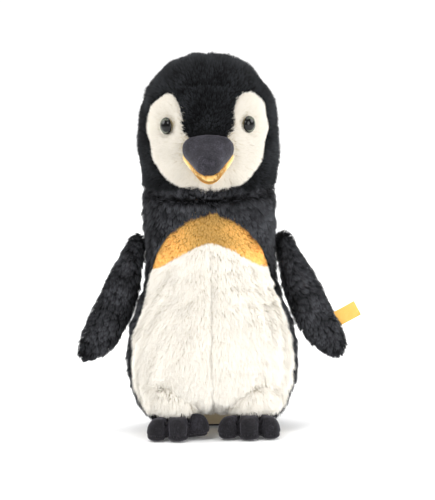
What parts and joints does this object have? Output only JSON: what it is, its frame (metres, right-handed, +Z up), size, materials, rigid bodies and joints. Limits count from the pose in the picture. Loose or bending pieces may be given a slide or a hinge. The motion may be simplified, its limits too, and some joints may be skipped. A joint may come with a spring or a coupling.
{
  "type": "plush penguin",
  "caption": "Standing stuffed penguin in black and white plush with an ochre bib, velour beak and toed feet, soft flippers and a turning head.",
  "frame": {"origin": "centre of the flat seat, on the ground, on the toy's plane of symmetry", "axes": "+Z up; the toy faces -Y; +X is the toy's own left"},
  "size_m": [0.2216, 0.1348, 0.288],
  "materials": {
    "black_plush": "long pile plush",
    "white_plush": "long pile plush",
    "ochre_plush": "short pile plush",
    "black_velour": "velour",
    "gold_plush": "short pile plush",
    "beige_fabric": "smooth woven",
    "woven_ribbon": "woven ribbon",
    "eye_plastic": "glossy",
    "washer_plastic": "satin",
    "fibre_fill": "loose fibre",
    "cotton_bag": "plain woven",
    "pellet_fill": "granulate"
  },
  "bodies": {
    "torso": {"chest_panel": "black_plush", "bib": "ochre_plush", "belly_left": "white_plush", "belly_right": "white_plush", "back_left": "black_plush", "back_right": "black_plush", "crotch_gusset": "beige_fabric", "seat_panel": "black_velour", "leg_left": "white_plush", "leg_right": "white_plush", "body_stuffing": "fibre_fill", "pellet_bag": "cotton_bag", "pellets": "pellet_fill"},
    "neck": {"neck_stuffing": "fibre_fill"},
    "head": {"head_cap_left": "black_plush", "head_cap_right": "black_plush", "forehead_panel": "black_plush", "face_left": "white_plush", "face_right": "white_plush", "beak_upper": "black_velour", "beak_lower": "gold_plush", "beak_stuffing": "fibre_fill", "eye_left": "eye_plastic", "eye_right": "eye_plastic", "eye_washer_left": "washer_plastic", "eye_washer_right": "washer_plastic", "head_stuffing": "fibre_fill"},
    "shoulder_left": {"shoulder_wadding_left": "fibre_fill"},
    "flipper_left": {"flipper_front_left": "black_plush", "flipper_back_left": "black_plush", "flipper_stuffing_left": "fibre_fill"},
    "tag": {"woven_tag": "woven_ribbon"},
    "shoulder_right": {"shoulder_wadding_right": "fibre_fill"},
    "flipper_right": {"flipper_front_right": "black_plush", "flipper_back_right": "black_plush", "flipper_stuffing_right": "fibre_fill"},
    "foot_left": {"foot_upper_left": "black_velour", "sole_left": "black_velour", "foot_stuffing_left": "fibre_fill"},
    "foot_right": {"foot_upper_right": "black_velour", "sole_right": "black_velour", "foot_stuffing_right": "fibre_fill"}
  },
  "joints": [
    {"name": "head_nod", "type": "hinge", "parent": "torso", "child": "neck", "pos_m": [0, -0.018, 0.15], "axis": [1, 0, 0], "range_deg": [-12, 12], "stiffness_Nm_per_rad": 0.9},
    {"name": "head_turn", "type": "hinge", "parent": "neck", "child": "head", "pos_m": [0, -0.018, 0.15], "axis": [0, 0, 1], "range_deg": [-35, 35], "stiffness_Nm_per_rad": 0.3},
    {"name": "swing_left", "type": "hinge", "parent": "torso", "child": "shoulder_left", "pos_m": [0.0563, -0.018, 0.147], "axis": [-1, 0, 0], "range_deg": [-25, 45], "stiffness_Nm_per_rad": 0.08},
    {"name": "lift_left", "type": "hinge", "parent": "shoulder_left", "child": "flipper_left", "pos_m": [0.0563, -0.018, 0.147], "axis": [0, -1, 0], "range_deg": [0, 75], "stiffness_Nm_per_rad": 0.08},
    {"name": "tag_flap", "type": "hinge", "parent": "flipper_left", "child": "tag", "pos_m": [0.09772, -0.018, 0.08392], "axis": [-0.4557, 0, 0.8901], "range_deg": [-50, 50], "stiffness_Nm_per_rad": 0.002},
    {"name": "swing_right", "type": "hinge", "parent": "torso", "child": "shoulder_right", "pos_m": [-0.0563, -0.018, 0.147], "axis": [-1, 0, 0], "range_deg": [-25, 45], "stiffness_Nm_per_rad": 0.08},
    {"name": "lift_right", "type": "hinge", "parent": "shoulder_right", "child": "flipper_right", "pos_m": [-0.0563, -0.018, 0.147], "axis": [0, 1, 0], "range_deg": [0, 75], "stiffness_Nm_per_rad": 0.08},
    {"name": "foot_left_bend", "type": "hinge", "parent": "torso", "child": "foot_left", "pos_m": [0.027, -0.045, 0.014], "axis": [1, 0, 0], "range_deg": [0, 20], "stiffness_Nm_per_rad": 0.3},
    {"name": "foot_right_bend", "type": "hinge", "parent": "torso", "child": "foot_right", "pos_m": [-0.027, -0.045, 0.014], "axis": [1, 0, 0], "range_deg": [0, 20], "stiffness_Nm_per_rad": 0.3}
  ]
}
